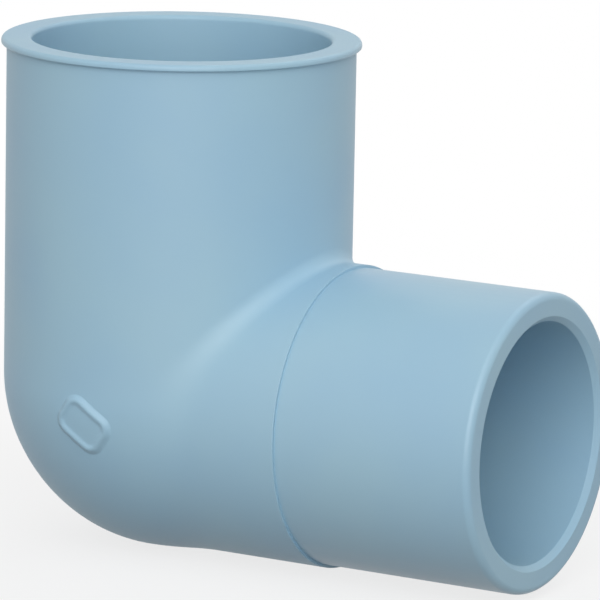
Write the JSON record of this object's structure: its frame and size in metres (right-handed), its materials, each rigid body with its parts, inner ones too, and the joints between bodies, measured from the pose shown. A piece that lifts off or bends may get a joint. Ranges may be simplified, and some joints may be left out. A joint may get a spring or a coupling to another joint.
{
  "type": "pvc elbow fitting",
  "caption": "Right-angle PVC street elbow for 60.3 mm pipe: a solvent-weld socket with a beaded mouth at one end and a plain pipe-sized spigot at the other.",
  "frame": {"origin": "centre of the pipe stop, the plane inside the socket where the pipe's end rests, on the socket's axis", "axes": "+Z along the socket's axis, out of its mouth; +X along the spigot's axis, towards its end; +Y completes the frame; the marking pad is on the -Y flank"},
  "size_m": [0.1211, 0.073, 0.105],
  "materials": {
    "pvc": "satin, as moulded, pale blue-grey"
  },
  "bodies": {
    "root": {"elbow_body": "pvc", "mouth_lip": "pvc", "spigot": "pvc", "marking_pad": "pvc"}
  },
  "joints": []
}
